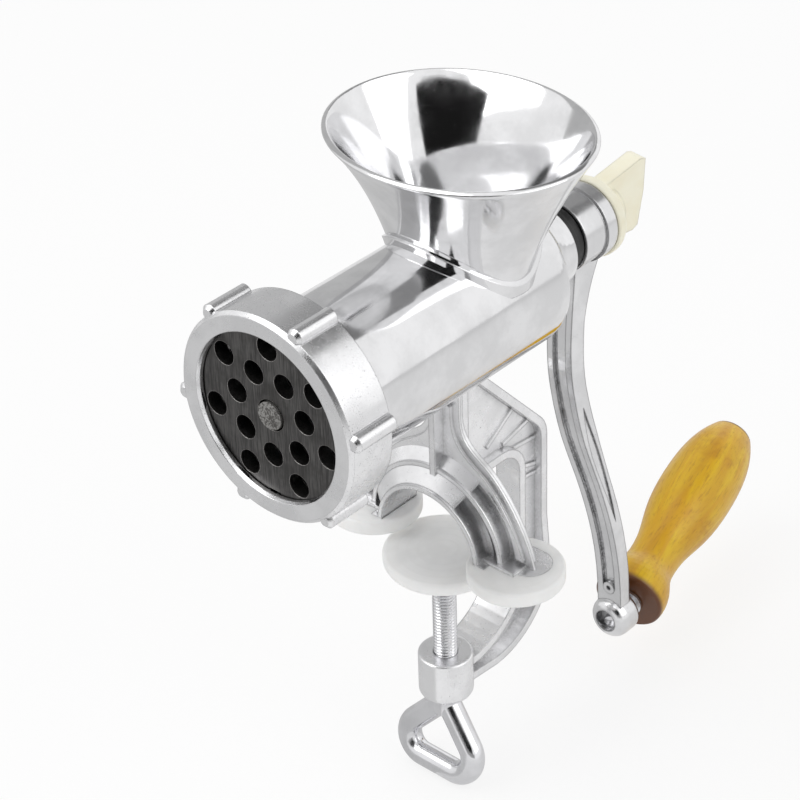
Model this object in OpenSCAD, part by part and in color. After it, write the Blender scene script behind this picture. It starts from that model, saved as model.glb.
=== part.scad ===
// Hand crank meat grinder with a table clamp.
// The origin is the centre of the table face under the jaw, on the clamp screw's axis.
// +Y points to the crank, +X to the right seen from the cutting plate, +Z up.

/* [Barrel] */
// Height of the auger axis above the table face
axis_h = 87.5; // [85:0.5:95]
// From the clamp screw's axis forward to the ring nut's front face
front_reach = 75.4; // [72:0.2:80]
// Outer radius of the barrel
barrel_r = 25.4; // [25:0.1:26]
// Wall between the barrel's outside and the auger bore
barrel_wall = 3.4; // [3:0.1:4]
// Length from the ring nut's front face to the barrel's rear edge
barrel_len = 109.8; // [106:0.1:112]

/* [Cutting head] */
// Outer radius of the ring nut
ring_r = 33.8; // [33.5:0.1:35]
// Length of the ring nut
ring_len = 17; // [16:0.5:18]
// Radius of the ring nut's front opening
opening_r = 27; // [26:0.2:28]
// Thickness of the ring nut's front flange
ring_flange = 2.4; // [2:0.1:3]
// Number of grip lugs on the ring nut
lug_count = 6; // [4:1:8]
// Thickness of the cutting plate
plate_t = 5; // [4:0.5:5]
// Radius of the holes in the cutting plate
hole_r = 3.9; // [3:0.1:4.2]

/* [Hopper] */
// Height of the hopper rim above the auger axis
hopper_h = 57.7; // [50:0.5:60]
// Half width of the rim, side to side
rim_a = 43.9; // [40:0.5:46]
// Half length of the rim, front to back
rim_b = 37.6; // [34:0.2:38]
// From the ring nut's front face back to the hopper's centre
hopper_y = 87.4; // [86:0.2:88]
// Wall thickness of the hopper
hopper_wall = 2; // [1.6:0.1:2.4]

/* [Crank] */
// From the auger axis to the middle of the crank eye
crank_len = 154.9; // [145:0.1:165]
// Angle that the crank hangs away from straight down
crank_swing = 4.8; // [0:0.1:6]
// Width of the crank arm, side to side
arm_w = 10; // [9:0.5:11]
// Angle of the grip to the side
grip_yaw = 12; // [0:0.5:14]
// Upward angle of the grip
grip_pitch = 10.3; // [0:0.1:14]
// Length of the wooden grip
grip_len = 88.5; // [80:0.5:100]

/* [Table clamp] */
// From the screw's axis back to the outside of the spine
spine_y = 46.8; // [45:0.1:50]
// Radius of the soft pad on each jaw foot
foot_pad_r = 15.7; // [15:0.1:16]
// From the screw's axis sideways to the middle of each jaw foot
foot_x = 29.8; // [29:0.1:31]
// Radius of the arch between the jaw's legs
arch_r = 19.3; // [19:0.1:20]
// Radius of the pad on the clamp screw
pad_r = 19.6; // [18:0.1:20]
// Radius of the clamp screw
screw_r = 4; // [3.5:0.25:4]
// Height of the threaded boss
boss_h = 17; // [15:0.5:18]
// Radius of the threaded boss
boss_r = 9.2; // [9:0.1:10]
// Thickness of the bow's rod
bow_rod_d = 8.2; // [7:0.2:8.2]

/* [Hidden] */
$fn = 96;

cut = 0.5;            // how far a cutting tool runs past a face
join = 0.01;          // how far one part of a piece runs into the next
run_gap = 0.05;       // radial clearance of a running fit
body_gap = 0.3;       // gap between pieces that move past each other

// places along the auger axis, measured back from the ring nut's front face
plate_y = ring_flange + body_gap;
mouth_y = plate_y + plate_t;
thread_end_y = ring_len - 0.5;
chamber_end_y = thread_end_y - 2;
rear_boss_len = 16.2;
boss_end_y = barrel_len + rear_boss_len;
bore_end_y = barrel_len - 8;
hub_y = boss_end_y + 7;
hub_len = 15;
hub_rim_len = 5;
knob_y = hub_y + hub_len + 0.2;

// cutting head
bore_r = barrel_r - barrel_wall;
thread_r = ring_r - 3.3;
chamber_r = thread_r - 3.2;
plate_r = thread_r - 0.7;
knife_r = chamber_r - 1.8;
knife_t = 3.4;
knife_hub_r = 9.5;
knife_hub_len = 6;
pin_r = 4.5;
plate_bore_r = 5.1;
inner_circle_r = 13.6;
outer_circle_r = 22.6;
circle_holes = 7;
hole_phase = 115.6;
lug_phase = 68.5;
lug_r = 2.8;
edge = 1.2;           // chamfer on the ring nut's front edges
notch_w = 4.4;
locator_place_r = 28.8;
locator_r = 1;
locator_depth = 5;

// bearing and drive
shaft_r = 6;
bush_r = 8;
rear_face_r = 14.1;
knife_square = 9;
drive_square = 8.4;
square_gap = 0.1;
core_r = 8;
flight_r = bore_r - 0.7;
flight_pitch = 32;
stud_r = 2.9;
stud_len = 25;
hub_r = 12.3;
hub_rim_r = 13;

// hopper
throat_z = 10;        // height of the funnel's lower end above the auger axis
throat_a = 22.9;
throat_b = 17.2;
throat_hole_r = 13;
throat_hole_x = 4.5;
hopper_steps = 12;
hopper_sides = 64;

// crank and grip
spindle_r = 3.2;
eye_r = 7.6;
eye_len = 10.9;
eye_front = 6.4;      // how much of the eye lies in front of the grip's foot point
eye_back = 17.8;      // from the hub's front face back to the grip's foot point
eye_recess = 3.2;
grip_sag = 1.1;       // how low the loose bolt sits in the eye
spindle_back = 4;     // how far the spindle reaches forward in the eye
arm_depth = 6.2;
arm_steps = 14;
flute_depth = 1.2;
flute_end = 27;       // the step of the arm's path where its front groove ends
washer_r = 5.6;
washer_t = 1.2;
washer_start = 6.6;   // along the grip's axis, clear of the eye
grip_start = washer_start + washer_t + body_gap;
head_r = 6.4;

// clamp
arch_z = 4.5;         // height of the arch's centre above the table face
arch_lip = 1.6;       // thickness of the arch's front lip
arch_ledge = 1.8;     // thickness of the ledge outside the lip
rim_t = 3;
neck_w = 7.3;         // how deep the frame is where it meets the barrel
web_t = 4;
frame_t = 10;
arm_t = 14;
jaw_front = -7.8;
wall_front = 1.6;
wall_back = 4.8;
jaw_back = 9.4;
boss_top = -43.5;
boss_bottom = boss_top - boss_h;
arm_bottom_z = boss_bottom + 3.5;
arm_corner_r = 28.7;
spine_t = 14.1;
throat_top = 21.3;    // height of the frame's ceiling above the table face
throat_corner_r = 8.3;
pad_top = -2.05;       // open by more than the thinnest sheet that the faces are tried with
pad_t = 5.4;
pad_floor = 1.5;
foot_r = 7.3;
foot_y = 4.3;
foot_pad_y = 0.6;
foot_pad_t = 5.5;
foot_floor = 2;
disc_r = 14;
disc_t = 3;
neck_r = 2.6;
screw_top = pad_top - pad_floor - disc_t - 0.2;
neck_len = 3;         // from the bow's top corner up to its end under the boss
bow_apex = boss_bottom - body_gap - neck_len;
bow_half = 22.4;      // half of the base, to where it would meet the sides
bow_drop = 25.3;
bow_bend = 7;
bow_lean = 10.7;      // how far the bow leans to the front

// a point on a circle
function on_circle(r, a) = [r * cos(a), r * sin(a)];

// the points of an arc around c
function arc(c, r, a0, a1, n = 12) =
    [for (i = [0:n]) c + on_circle(r, a0 + (a1 - a0) * i / n)];

// a point on a cubic curve with four control points
function bezier(p, t) =
    pow(1 - t, 3) * p[0] + 3 * t * pow(1 - t, 2) * p[1]
    + 3 * t * t * (1 - t) * p[2] + pow(t, 3) * p[3];

// n points along a cubic curve, without its first
function curve(p, n) = [for (i = [1:n]) bezier(p, i / n)];

function unit(v) = v / norm(v);
function mirrored(points) = [for (p = points) [-p[0], p[1]]];
function reversed(points) = [for (i = [len(points) - 1:-1:0]) points[i]];

// the sideways direction of a path at point i
function side(path, i) =
    let (a = path[max(i - 1, 0)], b = path[min(i + 1, len(path) - 1)], d = unit(b - a))
    [-d[1], d[0]];

// a band of varying half width w[i] along a flat path
function band(path, w) = concat(
    [for (i = [0:len(path) - 1]) path[i] + side(path, i) * w[i]],
    [for (i = [len(path) - 1:-1:0]) path[i] - side(path, i) * w[i]]);

// half of a turned block's outline, with its two outer edges rounded
function turned(r, h, low, high) = concat([[0, 0]],
    arc([r - low, low], low, -90, 0, 5), arc([r - high, h - high], high, 0, 90, 5), [[0, h]]);

// places a child that is drawn along +Z on the auger axis, y behind the ring nut's front
module on_axis(y) {
    translate([0, y - front_reach, axis_h]) rotate([-90, 0, 0]) children();
}

// a cylinder along the auger axis
module axle(y, length, r) {
    on_axis(y) cylinder(h = length, r = r);
}

// a cone along the auger axis
module taper(y, length, front_r, back_r) {
    on_axis(y) cylinder(h = length, r1 = front_r, r2 = back_r);
}

// a square bar along the auger axis
module square_axle(y, length, width) {
    on_axis(y) translate([-width / 2, -width / 2, 0]) cube([width, width, length]);
}

// a profile drawn in X and Z that is given thickness along Y, between y0 and y1
module plate_xz(y0, y1) {
    translate([0, y1, 0]) rotate([90, 0, 0]) linear_extrude(y1 - y0) children();
}

// a profile drawn in Y and Z that is given thickness along X, about x = 0
module plate_yz(thick) {
    translate([-thick / 2, 0, 0]) rotate([90, 0, 90]) linear_extrude(thick) children();
}

// the barrel as a plain turned block: a cylinder, a rounded rear edge and a flared bearing boss
module barrel_block() {
    edge_len = 4.3;
    edge_drop = 2.2;
    edge_start = barrel_len - edge_len;
    on_axis(0) rotate_extrude() polygon(concat([[0, thread_end_y], [barrel_r, thread_end_y]],
        [[barrel_r, edge_start]],
        curve([[barrel_r, edge_start], [barrel_r, barrel_len - 1.6],
            [barrel_r - 0.9, barrel_len], [barrel_r - edge_drop, barrel_len]], 6),
        curve([[barrel_r - edge_drop, barrel_len], [rear_face_r + 4.9, barrel_len + 2.2],
            [rear_face_r + 1.9, barrel_len + 6.2], [rear_face_r, boss_end_y]], 10),
        [[0, boss_end_y]]));
}

// ---- casting: barrel ----

// the opening between hopper and barrel
module throat() {
    translate([0, hopper_y - front_reach, axis_h]) {
        for (sx = [-1, 1]) translate([sx * throat_hole_x, 0, 0])
            cylinder(h = hopper_h, r = throat_hole_r);
        translate([-throat_hole_x, -throat_hole_r, 0])
            cube([2 * throat_hole_x, 2 * throat_hole_r, hopper_h]);
    }
}

// the pin, or the hole for it, that keeps the cutting plate from turning
module locator(y, length) {
    on_axis(y) translate([0, locator_place_r, 0]) cylinder(h = length, r = locator_r, $fn = 32);
}

module barrel() {
    color("gainsboro")
    difference() {
        union() {
            axle(mouth_y, thread_end_y - mouth_y + join, thread_r - run_gap);
            barrel_block();
        }
        axle(mouth_y - cut, chamber_end_y - mouth_y + cut, chamber_r);
        axle(chamber_end_y - cut, bore_end_y - chamber_end_y + cut, bore_r);
        axle(bore_end_y - cut, boss_end_y - bore_end_y + 2 * cut, bush_r);
        throat();
        locator(mouth_y - cut, locator_depth + cut);
    }
}

module locating_pin() {
    color("dimgray") locator(plate_y + cut, plate_t - cut + locator_depth);
}

// ---- casting: hopper ----

// how far the funnel has opened at height share t: the sides flare early, the ends late
function side_flare(t) = pow(t, 1.38);
function end_flare(t) = 0.52 * t + 0.48 * pow(t, 2.9);

function funnel_ring(t, inset, dz) =
    let (a = throat_a + (rim_a - throat_a) * side_flare(t) - inset,
         b = throat_b + (rim_b - throat_b) * end_flare(t) - inset,
         z = throat_z + (hopper_h - throat_z) * t + dz)
    [for (k = [0:hopper_sides - 1])
        [a * cos(360 * k / hopper_sides), b * sin(360 * k / hopper_sides), z]];

// a closed solid of the funnel's shape, smaller all round by inset
module funnel(inset, dz0, dz1) {
    points = [for (i = [0:hopper_steps])
        each funnel_ring(i / hopper_steps, inset, i == 0 ? dz0 : i == hopper_steps ? dz1 : 0)];
    n = hopper_sides;
    last = hopper_steps * n;
    polyhedron(points, concat(
        [[for (k = [0:n - 1]) k]],
        [[for (k = [n - 1:-1:0]) last + k]],
        [for (i = [0:hopper_steps - 1], k = [0:n - 1])
            [i * n + k, (i + 1) * n + k, (i + 1) * n + (k + 1) % n, i * n + (k + 1) % n]]));
}

module hopper() {
    color("gainsboro")
    difference() {
        translate([0, hopper_y - front_reach, axis_h]) difference() {
            funnel(0, 0, 0);
            funnel(hopper_wall, -cut, cut);
        }
        barrel_block();
    }
}

// ---- casting: table clamp ----

// outline of the C-shaped frame, seen from the side
function frame_outline() =
    let (inner_y = spine_y - spine_t, neck_z = axis_h - barrel_r)
    concat(
        [[wall_back, axis_h], [wall_back, throat_top], [inner_y - throat_corner_r, throat_top]],
        arc([inner_y - throat_corner_r, throat_top - throat_corner_r], throat_corner_r, 90, 0, 6),
        [[inner_y, -15]],
        curve([[inner_y, -15], [inner_y, -30], [inner_y - 6.7, boss_top], [9, boss_top - 3]], 12),
        [[0, boss_top - 3.1], [0, arm_bottom_z + 1.5]],
        arc([spine_y - arm_corner_r, arm_bottom_z + arm_corner_r], arm_corner_r, -90, 0, 14),
        arc([spine_y - 12, throat_top - 1], 12, 0, 45, 6),
        [[wall_back + neck_w, neck_z], [wall_back + neck_w, axis_h]]);

// the frame's rim, which is wider on the lower arm than on the spine
module frame_rim() {
    intersection() {
        plate_yz(arm_t) difference() {
            polygon(frame_outline());
            offset(delta = -rim_t) polygon(frame_outline());
        }
        plate_xz(-front_reach, front_reach) polygon(let (half = [[frame_t / 2, axis_h],
            [frame_t / 2, -12], [arm_t / 2, -36], [arm_t / 2, boss_bottom - cut]])
            concat(half, reversed(mirrored(half))));
    }
}

// a raised line on both sides of the web: [start along y, start height, angle, length]
module web_rib(rib) {
    translate([0, rib[0], rib[1]]) rotate([rib[2], 0, 0])
        translate([-web_t / 2 - 0.6, 0, -0.8]) cube([web_t + 1.2, rib[3], 1.6]);
}

module web_ribs() {
    intersection() {
        plate_yz(frame_t) polygon(frame_outline());
        for (rib = [[19.3, 27.9, 33, 17], [27.2, 25, 13, 15], [29.2, 21.2, -6, 16],
                    [spine_y - 11, 11.4, -16, 10], [spine_y - 11, 6.7, -8, 10]])
            web_rib(rib);
    }
}

module clamp_frame() {
    color("silver")
    difference() {
        union() {
            plate_yz(web_t) polygon(frame_outline());
            frame_rim();
            web_ribs();
            translate([0, 0, boss_bottom])
                rotate_extrude() polygon(turned(boss_r, boss_h, 2.6, 0.8));
        }
        translate([0, 0, boss_bottom - cut]) cylinder(h = boss_h + 2 * cut, r = screw_r + run_gap);
        barrel_block();
        // the jaw's arch, which the frame starts behind
        plate_xz(wall_front, jaw_back) translate([0, arch_z])
            circle(r = arch_r + arch_lip + arch_ledge);
    }
}

// the jaw's outer edge: it sweeps out under the barrel, then down to the foot
function jaw_edge() = concat([[6.4, 50]],
    curve([[6.4, 50], [6.6, 41.5], [11, 39.5], [16.5, 36]], 8),
    curve([[16.5, 36], [24, 31], [foot_x + 2.7, 19.5], [foot_x + 6.5, foot_pad_t]], 10));

// outline of the jaw's wall, seen from the front
function jaw_outline() = concat(
    [[-6.4, axis_h]], mirrored(jaw_edge()), [[-arch_r, foot_pad_t]],
    arc([0, arch_z], arch_r, 177, 3, 24),
    [[arch_r, foot_pad_t]], reversed(jaw_edge()), [[6.4, axis_h]]);

// a strip that follows the arch, as far down as the feet
module arch_band(inset, width) {
    intersection() {
        translate([0, arch_z]) difference() {
            circle(r = arch_r + inset + width);
            circle(r = arch_r + inset);
        }
        translate([-2 * foot_x, foot_pad_t - 1]) square([4 * foot_x, 2 * foot_x]);
    }
}

// the plate that each leg stands on
module foot_plate(sx, height) {
    translate([sx * (foot_x + 0.7), foot_y, foot_floor]) {
        for (dx = [-1.8, 1.8]) translate([dx, 0, 0]) cylinder(h = height, r = foot_r, $fn = 48);
        translate([-1.8, -foot_r, 0]) cube([3.6, 2 * foot_r, height]);
    }
}

module clamp_jaw() {
    rib_w = 2.2;
    edge_t = 1;
    color("silver")
    difference() {
        union() {
            plate_xz(wall_front, wall_front + edge_t) polygon(jaw_outline());
            plate_xz(wall_front + edge_t - join, wall_back) offset(delta = -1.2)
                polygon(jaw_outline());
            plate_xz(jaw_front, jaw_back) arch_band(0, arch_lip);
            plate_xz(wall_front - 3, jaw_back) arch_band(arch_lip - join, arch_ledge);
            // each leg has a pocket floor, a rib down its middle and a flared outer face
            plate_xz(wall_front - 5.1, wall_back) intersection() {
                arch_band(6.4, 1.6);
                polygon(jaw_outline());
            }
            plate_xz(wall_front - 1.4, wall_back) intersection() {
                arch_band(10.6, 20);
                offset(delta = -2.4) polygon(jaw_outline());
            }
            // central rib from the barrel down to the arch
            translate([-rib_w / 2, wall_front - 5.8, arch_z + arch_r])
                cube([rib_w, wall_back - wall_front + 5.8, axis_h - arch_z - arch_r]);
            for (sx = [-1, 1]) {
                foot_plate(sx, foot_pad_t - foot_floor);
                // the leg's foot, from the arch's front edge back
                translate([sx * (arch_r + 2.2) - 2.2, jaw_front, foot_floor])
                    cube([4.4, jaw_back - jaw_front, foot_pad_t - foot_floor]);
                translate([sx * (arch_r + 7) - 7, jaw_front + 3, foot_pad_t - 1])
                    cube([14, wall_back - jaw_front - 3, 2]);
            }
        }
        barrel_block();
        translate([0, -front_reach, arch_z]) rotate([-90, 0, 0])
            cylinder(h = 2 * front_reach, r = arch_r);
    }
}

module foot_pad(sx) {
    difference() {
        translate([sx * foot_x, foot_pad_y, 0])
            rotate_extrude() polygon(turned(foot_pad_r, foot_pad_t, 1.5, 1));
        foot_plate(sx, foot_pad_t);
        translate([sx * (arch_r + 2.2) - 2.2, jaw_front, foot_floor])
            cube([4.4, jaw_back - jaw_front, foot_pad_t]);
        translate([sx * (arch_r + 7) - 7, jaw_front + 3, foot_pad_t - 1])
            cube([14, wall_back - jaw_front - 3, foot_pad_t]);
        plate_xz(jaw_front, jaw_back)
            arch_band(-body_gap, arch_lip + arch_ledge + 2 * body_gap);
    }
}

module jaw_pad_left() { color("ghostwhite") foot_pad(-1); }
module jaw_pad_right() { color("ghostwhite") foot_pad(1); }

// ---- clamp screw ----

module pad_cap() {
    color("ghostwhite")
    difference() {
        translate([0, 0, pad_top - pad_t]) rotate_extrude() polygon(turned(pad_r, pad_t, 3, 1.2));
        translate([0, 0, pad_top - pad_t - cut]) cylinder(h = pad_t - pad_floor + cut, r = disc_r);
    }
}

module pad_disc() {
    color("silver")
    translate([0, 0, pad_top - pad_floor - disc_t]) difference() {
        cylinder(h = disc_t, r = disc_r);
        translate([0, 0, -cut]) cylinder(h = disc_t + 2 * cut, r = neck_r + run_gap);
        translate([0, 0, disc_t / 2]) cylinder(h = disc_t, r = neck_r + 1.2);
    }
}

module clamp_screw() {
    color("silver")
    union() {
        translate([0, 0, bow_apex]) cylinder(h = screw_top - bow_apex, r = screw_r);
        translate([0, 0, screw_top - join]) cylinder(h = disc_t, r = neck_r);
        translate([0, 0, screw_top + disc_t - 1.2]) cylinder(h = 1, r = neck_r + 1);
    }
}

// the right half of the bow: base, bend and side, drawn from the bend's centre
module half_bow(r) {
    slope = atan2(bow_drop, bow_half);
    bend_cut = bow_bend / tan(slope / 2);
    translate([bow_half - bend_cut, 0, bow_bend - bow_drop]) rotate([90, 0, 0]) {
        rotate([0, 0, -90]) rotate_extrude(angle = 180 - slope)
            translate([bow_bend, 0]) circle(r = r);
        rotate([0, 0, 90 - slope]) translate([bow_bend, 0, 0]) rotate([-90, 0, 0])
            cylinder(h = norm([bow_half, bow_drop]) - bend_cut, r = r);
        translate([0, -bow_bend, 0]) rotate([0, -90, 0])
            cylinder(h = bow_half - bend_cut, r = r);
    }
}

// a rod bent to a triangle, with its top corner at the screw's end
module screw_bow() {
    r = bow_rod_d / 2;
    color("silver")
    difference() {
        translate([0, 0, bow_apex]) union() {
            rotate([-bow_lean, 0, 0]) {
                half_bow(r);
                mirror([1, 0, 0]) half_bow(r);
            }
            translate([0, 0, -r]) cylinder(h = neck_len + r, r = screw_r + 1);
        }
        translate([0, 0, bow_apex]) cylinder(h = boss_h, r = screw_r);
    }
}

// ---- cutting head ----

module ring_nut() {
    color("silver")
    difference() {
        union() {
            taper(0, edge, ring_r - edge, ring_r);
            axle(edge, ring_len - edge, ring_r);
            on_axis(edge / 2) for (k = [0:lug_count - 1])
                rotate([0, 0, -(lug_phase + 360 * k / lug_count)])
                    translate([ring_r + 0.2, 0, 0]) {
                        cylinder(h = edge, r1 = lug_r - edge, r2 = lug_r, $fn = 32);
                        translate([0, 0, edge])
                            cylinder(h = ring_len - 2 * edge, r = lug_r, $fn = 32);
                    }
        }
        taper(-cut, edge + cut, opening_r + edge / 2 + cut / 2, opening_r);
        axle(0, ring_len, opening_r);
        axle(ring_flange, ring_len, thread_r);
    }
}

// one ring of holes through the cutting plate
module hole_circle(r, phase) {
    on_axis(plate_y - cut) for (k = [0:circle_holes - 1])
        rotate([0, 0, -(phase - 360 / circle_holes * k)])
            translate([r, 0, 0]) cylinder(h = plate_t + 2 * cut, r = hole_r);
}

module cutting_plate() {
    color("dimgray")
    difference() {
        axle(plate_y, plate_t, plate_r);
        axle(plate_y - cut, plate_t + 2 * cut, plate_bore_r);
        hole_circle(inner_circle_r, hole_phase);
        hole_circle(outer_circle_r, hole_phase + 180 / circle_holes);
        translate([-notch_w / 2, plate_y - front_reach - cut, axis_h - plate_r - cut])
            cube([notch_w, plate_t + 2 * cut, plate_r - locator_place_r + cut + 2.4]);
    }
}

module cross_knife() {
    front = mouth_y + body_gap;
    color("darkgray")
    difference() {
        union() {
            axle(front, knife_hub_len, knife_hub_r);
            on_axis(front) for (k = [0:3]) rotate([0, 0, 20 + 90 * k])
                linear_extrude(knife_t) polygon([[0, -4.5], [knife_r - 1, -3.5], [knife_r, -1],
                    [knife_r - 1.5, 3], [0, 4.5]]);
        }
        square_axle(front - cut, knife_hub_len + 2 * cut, knife_square);
    }
}

module auger() {
    knife_front = mouth_y + body_gap;
    flight_start = knife_front + knife_hub_len + 0.4;
    flight_len = bore_end_y - 1 - flight_start;
    color("darkgray")
    difference() {
        union() {
            axle(plate_y - 0.7, knife_front - plate_y + 1.7, pin_r);
            square_axle(knife_front, knife_hub_len + 0.5, knife_square - 2 * square_gap);
            axle(flight_start, flight_len, core_r);
            // the screw flight, which stands clear of the core's two ends
            on_axis(flight_start)
                linear_extrude(flight_len, twist = -360 * flight_len / flight_pitch,
                    slices = 60, $fn = 12)
                polygon([[0, -5], [flight_r - 2, -2.6], [flight_r, -1.4], [flight_r, 1.4],
                    [flight_r - 2, 2.6], [0, 5]]);
            axle(flight_start + flight_len - join, hub_y - body_gap - flight_start - flight_len,
                shaft_r);
            square_axle(hub_y - 1, hub_len, drive_square);
        }
        axle(hub_y + 1, hub_len, stud_r + run_gap);
    }
}

module rear_bush() {
    color("tan")
    difference() {
        axle(bore_end_y, boss_end_y - bore_end_y, bush_r);
        axle(bore_end_y - cut, boss_end_y - bore_end_y + 2 * cut, shaft_r + run_gap);
    }
}

// two discs take the crank's push: a wide one on the bearing face and a narrower one behind
module thrust_washer() {
    split = boss_end_y + 3;
    color("dimgray")
    difference() {
        union() {
            axle(boss_end_y, split - boss_end_y + join, rear_face_r - 1.4);
            axle(split, hub_y - body_gap - split, hub_r - 1);
        }
        axle(boss_end_y - cut, hub_y - boss_end_y + 2 * cut, shaft_r + 8 * run_gap);
    }
}

// ---- crank ----

// the arm's centre line, [back from the ring nut's front, down from the axis]
function arm_top() =
    [[hub_y + 7.5, 0], [hub_y + 4, -22], [hub_y - 1.5, -38], [hub_y + 0.5, -55]];
function arm_bottom() = [[hub_y + 0.5, -55], [hub_y + 4.5, -89],
    [hub_y + eye_back + 2.5, 43.9 - crank_len], [hub_y + eye_back - 1.2, 4 - crank_len]];
function arm_path() = concat([arm_top()[0]], curve(arm_top(), arm_steps),
    curve(arm_bottom(), arm_steps));

// half of the arm's depth, which shrinks from the hub to the eye
function arm_half(i) = arm_depth
    * lookup(i / (2 * arm_steps), [[0, 0.55], [0.5, 0.52], [0.6, 0.56], [0.72, 0.45], [1, 0.4]]);

// places a child in the crank's own frame: the hub's axis through the origin
module in_crank() {
    translate([0, -front_reach, axis_h]) rotate([0, -crank_swing, 0]) children();
}

// places a child in the middle of the eye
module at_eye() {
    in_crank() translate([0, hub_y + eye_back, -crank_len]) rotate([0, crank_swing, 0])
        children();
}

// a child drawn along +Z is laid along the grip's axis, with its foot in the eye
module on_grip() {
    at_eye() translate([0.6, 0, -grip_sag])
        rotate([0, 0, grip_yaw]) rotate([grip_pitch - 90, 0, 0]) children();
}

// the arm, with a gusset that carries its back edge up to the hub's rear rim
module arm_body() {
    path = arm_path();
    plate_yz(arm_w) {
        polygon(band(path, [for (i = [0:len(path) - 1]) arm_half(i)]));
        polygon(concat([[hub_y + 2, -8]], [[hub_y + hub_len - 0.3, -8]],
            curve([[hub_y + hub_len - 0.3, -11.5], [hub_y + 11.5, -15], [hub_y + 4.5, -27],
                [hub_y + 3.1, -41]], 8), [[hub_y + 1, -41]]));
    }
}

// the groove down the arm's front face, from under the barrel to the round mark
module front_flute() {
    path = [for (i = [5:flute_end]) arm_path()[i] + side(arm_path(), i) * -arm_half(i)];
    plate_yz(arm_w * 0.5) polygon(band(path, [for (p = path) flute_depth]));
}

// the shallow groove along the middle of each side, pointed at both ends
module side_flutes() {
    first = 15;
    last = 23;
    path = [for (i = [first:last]) arm_path()[i]];
    for (sx = [-1, 1]) translate([sx * arm_w / 2, 0, 0]) plate_yz(flute_depth)
        polygon(band(path, [for (i = [first:last]) 0.05
            + (arm_half(i) - 1.5) * sin(180 * (i - first) / (last - first))]));
}

// the small round mark that the front groove ends at
module arm_mark(r, depth) {
    place = arm_path()[flute_end];
    translate([0, place[0] - arm_half(flute_end) - 0.3, place[1]])
        rotate([-90, 0, 0]) cylinder(h = depth, r = r, $fn = 32);
}

module crank_arm() {
    color("silver")
    difference() {
        union() {
            axle(hub_y, hub_len - hub_rim_len + join, hub_r);
            axle(hub_y + hub_len - hub_rim_len, hub_rim_len, hub_rim_r);
            in_crank() difference() {
                union() {
                    difference() {
                        arm_body();
                        side_flutes();
                        front_flute();
                    }
                    arm_mark(2.4, 2);
                }
                arm_mark(0.8, 1);
            }
            at_eye() translate([0, -eye_front, 0]) rotate([-90, 0, 0])
                rotate_extrude() polygon(turned(eye_r, eye_len, 4, 2.6));
        }
        square_axle(hub_y - cut, hub_len + 2 * cut, drive_square + 2 * square_gap);
        at_eye() translate([0, -eye_front - cut, 0]) rotate([-90, 0, 0])
            cylinder(h = cut + eye_recess, r = spindle_r + 0.8);
        on_grip() translate([0, 0, -spindle_back]) cylinder(h = 2 * eye_len, r = spindle_r);
    }
}

module wing_knob() {
    flange_t = 4.6;
    flange_r = hub_rim_r + 0.7;
    wing_t = 5.8;
    wing_end = 26;
    wing_half = 13.8;
    color("ivory")
    difference() {
        union() {
            on_axis(knob_y) rotate_extrude() polygon(turned(flange_r, flange_t, 0.6, 2.4));
            axle(knob_y + flange_t - 1, 6, 8.5);
            translate([0, 0, axis_h]) rotate([0, 6, 0]) plate_yz(wing_t)
                translate([knob_y - front_reach, 0])
                polygon([[2, -11], [wing_end - 3.5, -wing_half], [wing_end - 1, 1 - wing_half],
                    [wing_end, 0], [wing_end - 1, wing_half - 1], [wing_end - 3.5, wing_half],
                    [2, 11]]);
        }
        axle(knob_y - cut, stud_len / 2 + cut, stud_r);
    }
}

module wing_stud() {
    color("silver")
    axle(knob_y - stud_len / 2, stud_len, stud_r);
}

module grip_washer() {
    color("silver")
    on_grip() translate([0, 0, washer_start]) difference() {
        cylinder(h = washer_t, r = washer_r);
        translate([0, 0, -cut]) cylinder(h = washer_t + 2 * cut, r = spindle_r);
    }
}

// half of the grip's outline: a flared foot, a neck, a full belly and a rounded tail
function grip_outline() =
    let (face = 12.4, foot = 12.9, neck = 9, belly = 13.8, tail = 8)
    concat(
        [[0, 0], [face - 0.6, 0], [face, 0.6]],
        curve([[face, 0.6], [foot, 2], [foot + 0.3, 6.5], [foot - 1.8, 11]], 6),
        curve([[foot - 1.8, 11], [foot - 3.1, 14], [neck, 15.5], [neck, 20.5]], 6),
        curve([[neck, 20.5], [neck, 34], [belly, 37], [belly, grip_len - 30.5]], 12),
        curve([[belly, grip_len - 30.5], [belly, grip_len - 16], [tail + 4, grip_len - 8],
            [tail, grip_len]], 12),
        [[0, grip_len]]);

module grip() {
    color("goldenrod")
    on_grip() translate([0, 0, grip_start]) difference() {
        rotate_extrude() polygon(grip_outline());
        translate([0, 0, -cut]) cylinder(h = grip_len + 2 * cut, r = spindle_r + run_gap);
    }
}

module grip_spindle() {
    color("silver")
    on_grip() translate([0, 0, -spindle_back])
        cylinder(h = spindle_back + grip_start + grip_len + body_gap, r = spindle_r);
}

module grip_bolt_head() {
    dome_r = 7;
    dome_h = 4.4;
    color("whitesmoke")
    on_grip() translate([0, 0, grip_start + grip_len + body_gap]) intersection() {
        translate([0, 0, dome_h - dome_r]) sphere(r = dome_r);
        cylinder(h = dome_r, r = head_r);
    }
}

barrel();
hopper();
clamp_frame();
clamp_jaw();
ring_nut();
cutting_plate();
locating_pin();
cross_knife();
auger();
rear_bush();
thrust_washer();
crank_arm();
wing_knob();
wing_stud();
grip();
grip_spindle();
grip_bolt_head();
grip_washer();
jaw_pad_left();
jaw_pad_right();
pad_cap();
pad_disc();
clamp_screw();
screw_bow();
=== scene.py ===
# %% [markdown]
# # A hand crank meat grinder
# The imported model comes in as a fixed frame: every rigid piece at its real size, in metres.
# This lesson dresses that frame. It rounds the edges that a casting has rounded, models the pieces
# whose form is finer than the frame's, and gives each surface its finish.

# %% Load the frame
import math

import bpy
from mathutils import Matrix, Vector


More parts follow.
